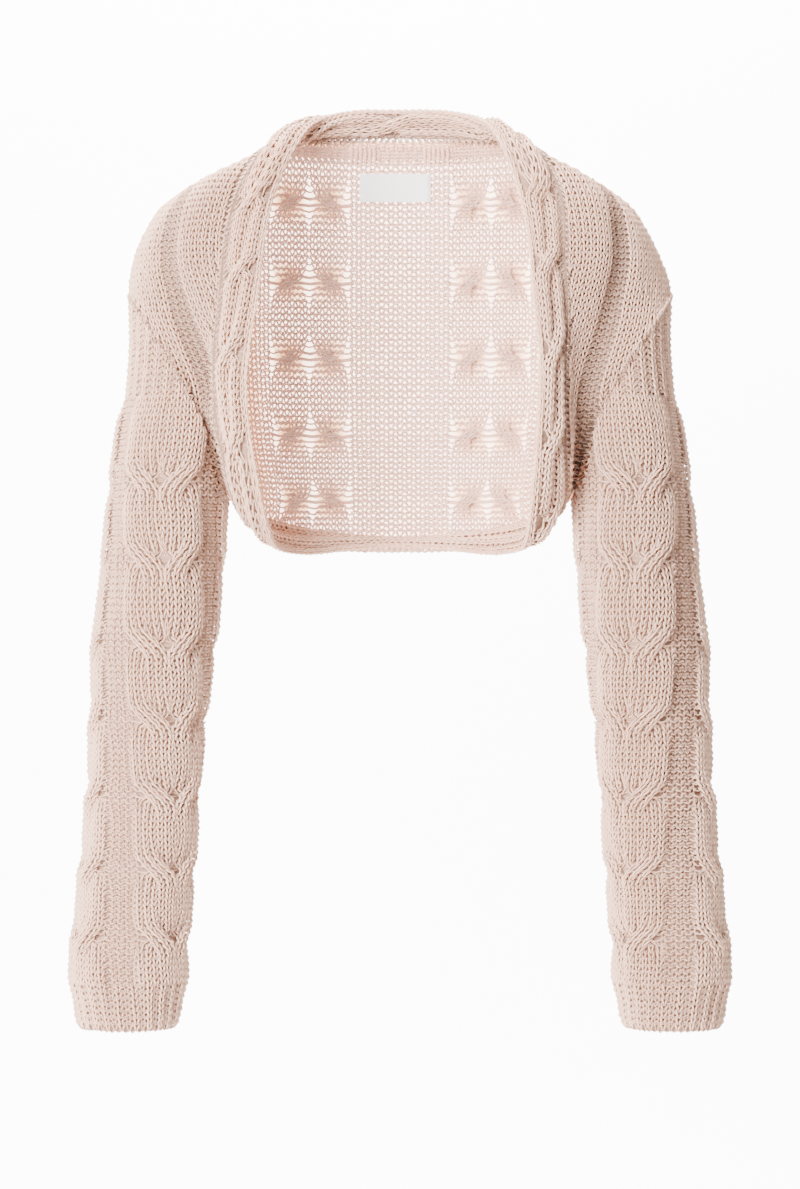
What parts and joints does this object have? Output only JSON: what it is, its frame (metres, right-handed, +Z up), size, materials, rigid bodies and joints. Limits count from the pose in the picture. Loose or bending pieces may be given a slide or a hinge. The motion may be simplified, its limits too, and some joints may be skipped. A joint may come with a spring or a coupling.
{
  "type": "knitted shrug",
  "caption": "Cropped open-front shrug in chunky horseshoe cable knit, with long drop-shoulder sleeves and a rope-cabled band round neck, fronts and hem, in its hollow worn form.",
  "frame": {"origin": "between the wearer's shoulders, on the middle line, level with the top of the shoulder seams' outer slope, where the wearer holds the garment up", "axes": "+Z up, +X towards the wearer's left, -Y the way the open front faces"},
  "size_m": [0.541, 0.1786, 0.7593],
  "materials": {
    "blush_knit": "soft chunky wool-blend cable knit, matt with a light halo",
    "label_tape": "smooth woven tape, satin"
  },
  "bodies": {
    "root": {"back": "blush_knit", "band": "blush_knit", "front_left": "blush_knit", "front_right": "blush_knit", "label": "label_tape", "sleeve_left": "blush_knit", "sleeve_right": "blush_knit"}
  },
  "joints": []
}
